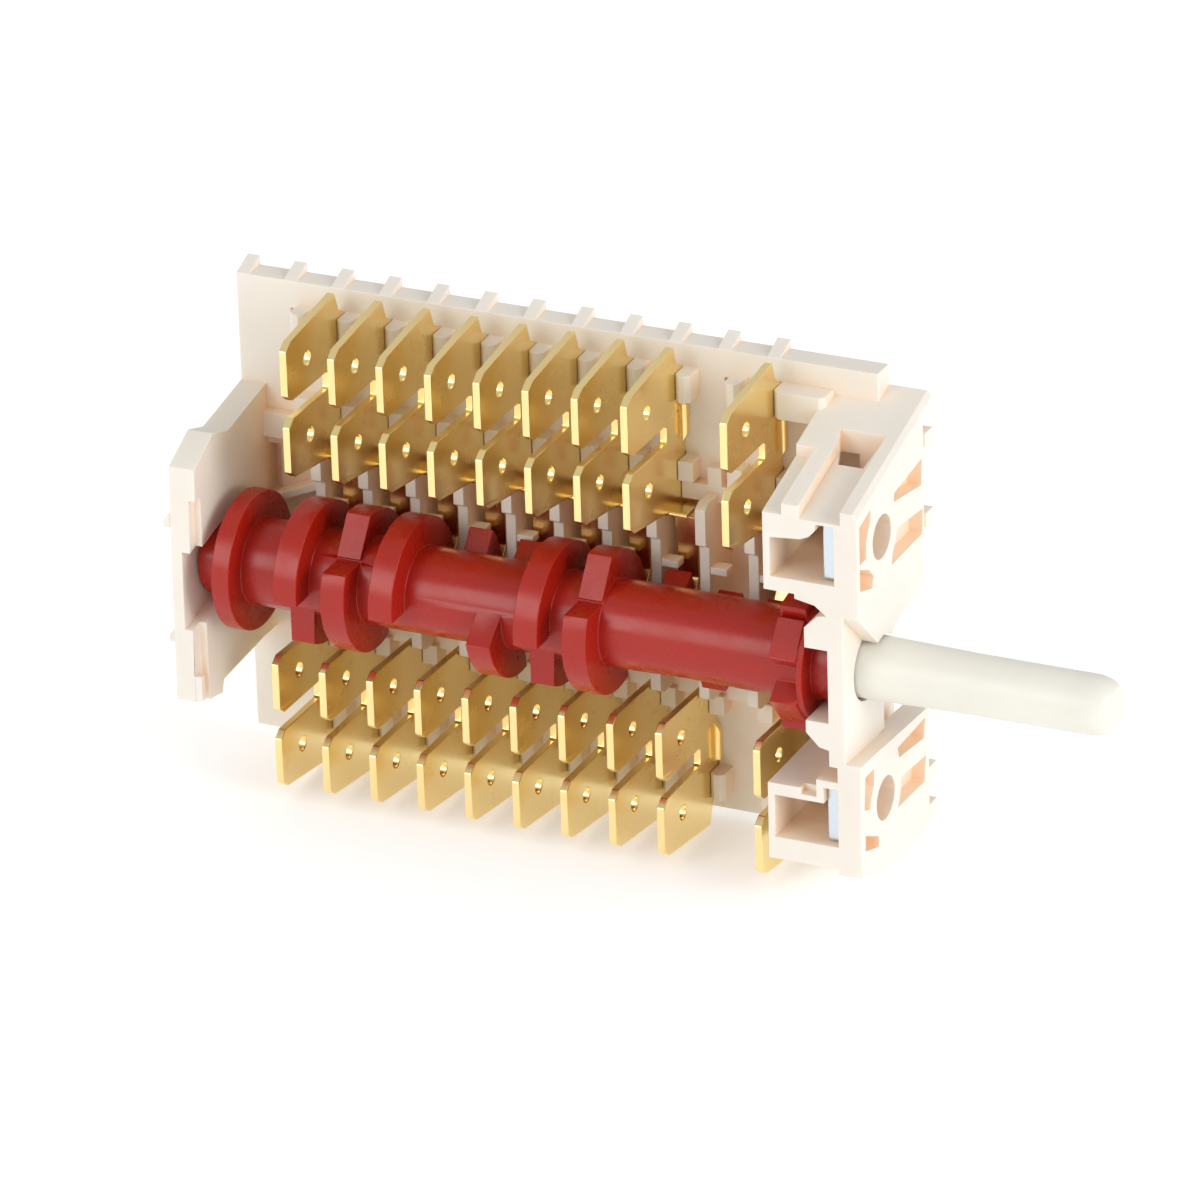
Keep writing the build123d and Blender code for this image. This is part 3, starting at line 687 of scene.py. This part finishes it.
class SWITCH_OT_spindle(bpy.types.Operator):
    """Turn the spindle in pale ivory plastic"""
    bl_idname = "switch.spindle"
    bl_label = "Spindle"

    def execute(self, context):
        coat = plastic("ivory spindle", context.scene.switch_finish.spindle, roughness=0.38,
                       subsurface=0.3, glow=(1.0, 0.88, 0.68))
        low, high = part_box("spindle")
        taper = context.scene.switch_spindle
        root, end = high.z, high.x
        tip_x = end - taper.round_length
        profile = [(low.x, 0.0), (low.x, root), (0.0, root), (taper.taper_end, taper.tip),
                   (tip_x, taper.tip)]
        for step in range(1, DOME_STEPS + 1):
            turn = math.pi / 2 * step / DOME_STEPS
            profile.append((tip_x + taper.round_length * math.sin(turn),
                            taper.flat + (taper.tip - taper.flat) * math.cos(turn)))
        profile.append((end, 0.0))

        def build(bm):
            turned(bm, profile)

        made = piece("spindle_turned", build, degrees=TURNED_ANGLE)
        settle(made, "rotor", ["spindle"], coat)
        return {"FINISHED"}


class SWITCH_OT_terminals(bpy.types.Operator):
    """Stamp and bend the brass forks and set them in their two banks"""
    bl_idname = "switch.terminals"
    bl_label = "Terminals"

    def execute(self, context):
        sizes, contact = context.scene.switch_brass, context.scene.switch_springs
        coat = metal("terminal brass", context.scene.switch_finish.brass, roughness=0.24)
        half = (sizes.tab_pitch + sizes.tab) / 2 + sizes.barb_rise
        low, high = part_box(UPPER_NAMES[0])
        front, upper_x, ear_x, upper_z = low.y, low.x, high.x, high.z - half
        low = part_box(LOWER_NAMES[0])[0]
        lower_x, lower_z = low.x, low.z + half
        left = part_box("contact_spring_1")[0].x
        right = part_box(LOWER_NAMES[1])[1].x - LEG_INSET

        def upper(bm):
            fork(bm, sizes, upper_x, front, upper_z, 1, UPPER_ROOT)
            ear = rounded(points_mm(UPPER_EAR), EAR_CORNER)
            stamping(bm, ear, upper_x + EAR_STEP, ear_x, sizes.edge)

        def lower(bm):
            fork(bm, sizes, lower_x, front, lower_z, -1, LOWER_ROOT)

        def fixed_contact(bm):
            stamping(bm, points_mm(CONTACT_LEG), right - sizes.thickness, right, sizes.edge)
            strip = rounded(box_outline(left, CONTACT_LOW, right, CONTACT_HIGH), sizes.corner)
            stamping(bm, strip, CONTACT_FRONT, CONTACT_BACK, sizes.edge, across=across_y)
            button = circle(left + BUTTON_PLACE, contact.contact_z, contact.contact)
            stamping(bm, button, BUTTON_FRONT, BUTTON_BACK, BUTTON_EDGE, across=across_y)

        made = bank(piece("upper_terminals", upper), UPPER_PLACES, UPPER_EMPTY, coat)
        settle(made, "frame_body", UPPER_NAMES)
        made = bank(piece("lower_terminals", lower), LOWER_PLACES, LOWER_EMPTY, coat)
        settle(made, "frame_body", LOWER_NAMES)
        made = bank(piece("lower_contacts", fixed_contact), UPPER_PLACES, UPPER_EMPTY, coat)
        settle(made, "frame_body", LOWER_NAMES)
        return {"FINISHED"}


class SWITCH_OT_springs(bpy.types.Operator):
    """Fold the contact springs and the detent spring"""
    bl_idname = "switch.springs"
    bl_label = "Springs"

    def execute(self, context):
        finish, sizes = context.scene.switch_finish, context.scene.switch_springs
        brass = metal("spring brass", finish.spring, roughness=0.26)
        for number in UPPER_CIRCUITS:
            spring(f"contact_spring_{number}", sizes, brass, "spring_brass")
        steel = metal("spring steel", finish.steel, roughness=0.3)
        spring("detent_spring", sizes, steel, "spring_steel", contact=False)
        return {"FINISHED"}


class SWITCH_OT_nut_plates(bpy.types.Operator):
    """Press the zinc plated nut plates"""
    bl_idname = "switch.nut_plates"
    bl_label = "Nut plates"

    def execute(self, context):
        coat = metal("zinc plating", context.scene.switch_finish.zinc, roughness=0.26)
        edge = context.scene.switch_edges.plates
        for name in ("nut_plate_upper", "nut_plate_lower"):
            low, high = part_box(name)
            outline = rounded(box_outline(low.y, low.z, high.y, high.z), NUT_CORNER)
            hole = circle(0.0, (low.z + high.z) / 2, NUT_HOLE, NUT_HOLE_SIDES)

            def build(bm):
                stamping(bm, outline, low.x, high.x, edge, holes=[hole])

            settle(piece(f"{name}_pressed", build), "frame_body", [name], coat)
        return {"FINISHED"}


def area_light(name, place, power, tint):
    """A round lamp that points at the switch."""
    light = bpy.data.lights.new(name, "AREA")
    light.shape = "DISK"
    light.size = LAMP_WIDTH
    light.energy = power
    light.color = tint
    lamp = placed(name, light)
    lamp.location = place
    aim = Vector(LAMP_AIM) - Vector(place)
    lamp.rotation_euler = aim.to_track_quat("-Z", "Y").to_euler()


def place_camera(stage):
    """The camera at the photograph's angle, from its turn, height, lean and aim."""
    turn, rise, lean = stage.azimuth, stage.elevation, stage.roll
    right = Vector((math.cos(turn), math.sin(turn), 0.0))
    ahead = Vector((-math.sin(turn) * math.cos(rise), math.cos(turn) * math.cos(rise),
                    -math.sin(rise)))
    up = right.cross(ahead)
    place = right * stage.aim_right + up * stage.aim_up - ahead * stage.distance
    across = right * math.cos(lean) - up * math.sin(lean)
    above = right * math.sin(lean) + up * math.cos(lean)
    view = bpy.data.cameras.new("photo camera")
    view.lens = stage.lens
    view.sensor_width = SENSOR_WIDTH
    view.clip_start = CLIP_START
    view.clip_end = CLIP_END
    camera = placed("photo camera", view)
    turned_view = Matrix((across, above, -ahead)).transposed().to_4x4()
    camera.matrix_world = Matrix.Translation(place) @ turned_view
    bpy.context.scene.camera = camera


class SWITCH_OT_stage(bpy.types.Operator):
    """Set the floor, the soft lights and the camera"""
    bl_idname = "switch.stage"
    bl_label = "Studio"

    def execute(self, context):
        stage = context.scene.switch_stage
        half = stage.floor_size / 2
        corners = [(p.x, p.y, FLOOR_Z - FLOOR_DROP) for p in box_outline(-half, -half, half, half)]
        mesh = bpy.data.meshes.new("floor")
        mesh.from_pydata(corners, [], [(0, 1, 2, 3)])
        floor = placed("floor", mesh)
        material, _, _, principled = shader("pale floor", stage.floor, FLOOR_ROUGHNESS)
        principled.inputs["Specular IOR Level"].default_value = FLOOR_SHINE
        principled.inputs["Emission Color"].default_value = WHITE
        principled.inputs["Emission Strength"].default_value = FLOOR_GLOW
        mesh.materials.append(material)
        world = bpy.data.worlds.new("studio")
        context.scene.world = world
        world.use_nodes = True
        background = world.node_tree.nodes["Background"]
        background.inputs["Color"].default_value = WHITE
        background.inputs["Strength"].default_value = stage.room
        for name, place, power, tint in LAMPS:
            area_light(name, place, power, tint)
        context.scene.view_settings.view_transform = "Standard"
        place_camera(stage)
        return {"FINISHED"}


PIECE_OPERATORS = (SWITCH_OT_moulding, SWITCH_OT_cam_shaft, SWITCH_OT_spindle,
                   SWITCH_OT_terminals, SWITCH_OT_springs, SWITCH_OT_nut_plates, SWITCH_OT_stage)
SETTINGS = {"switch_finish": SwitchFinish, "switch_brass": SwitchBrass,
            "switch_springs": SwitchSprings, "switch_spindle": SwitchSpindle,
            "switch_edges": SwitchEdges, "switch_stage": SwitchStage}


class SWITCH_PT_panel(bpy.types.Panel):
    """Lists the switch's sizes, colours and steps"""
    bl_idname = "SWITCH_PT_panel"
    bl_label = "Selector switch"
    bl_space_type = "VIEW_3D"
    bl_region_type = "UI"
    bl_category = "Switch"

    def draw(self, context):
        for name in SETTINGS:
            group = getattr(context.scene, name)
            for value in group.__annotations__:
                self.layout.prop(group, value)
        for operator in PIECE_OPERATORS:
            self.layout.operator(operator.bl_idname)


CLASSES = (*SETTINGS.values(), *PIECE_OPERATORS, SWITCH_PT_panel)


def register():
    """Makes the settings, steps and panel known to Blender."""
    for cls in CLASSES:
        bpy.utils.register_class(cls)
    for name, group in SETTINGS.items():
        setattr(bpy.types.Scene, name, bpy.props.PointerProperty(type=group))


def unregister():
    """Takes them out again."""
    for name in SETTINGS:
        delattr(bpy.types.Scene, name)
    for cls in reversed(CLASSES):
        bpy.utils.unregister_class(cls)


def main():
    """Makes the whole switch and its studio."""
    register()
    bpy.ops.switch.moulding()
    bpy.ops.switch.cam_shaft()
    bpy.ops.switch.spindle()
    bpy.ops.switch.terminals()
    bpy.ops.switch.springs()
    bpy.ops.switch.nut_plates()
    bpy.ops.switch.stage()


if __name__ == "__main__":
    main()
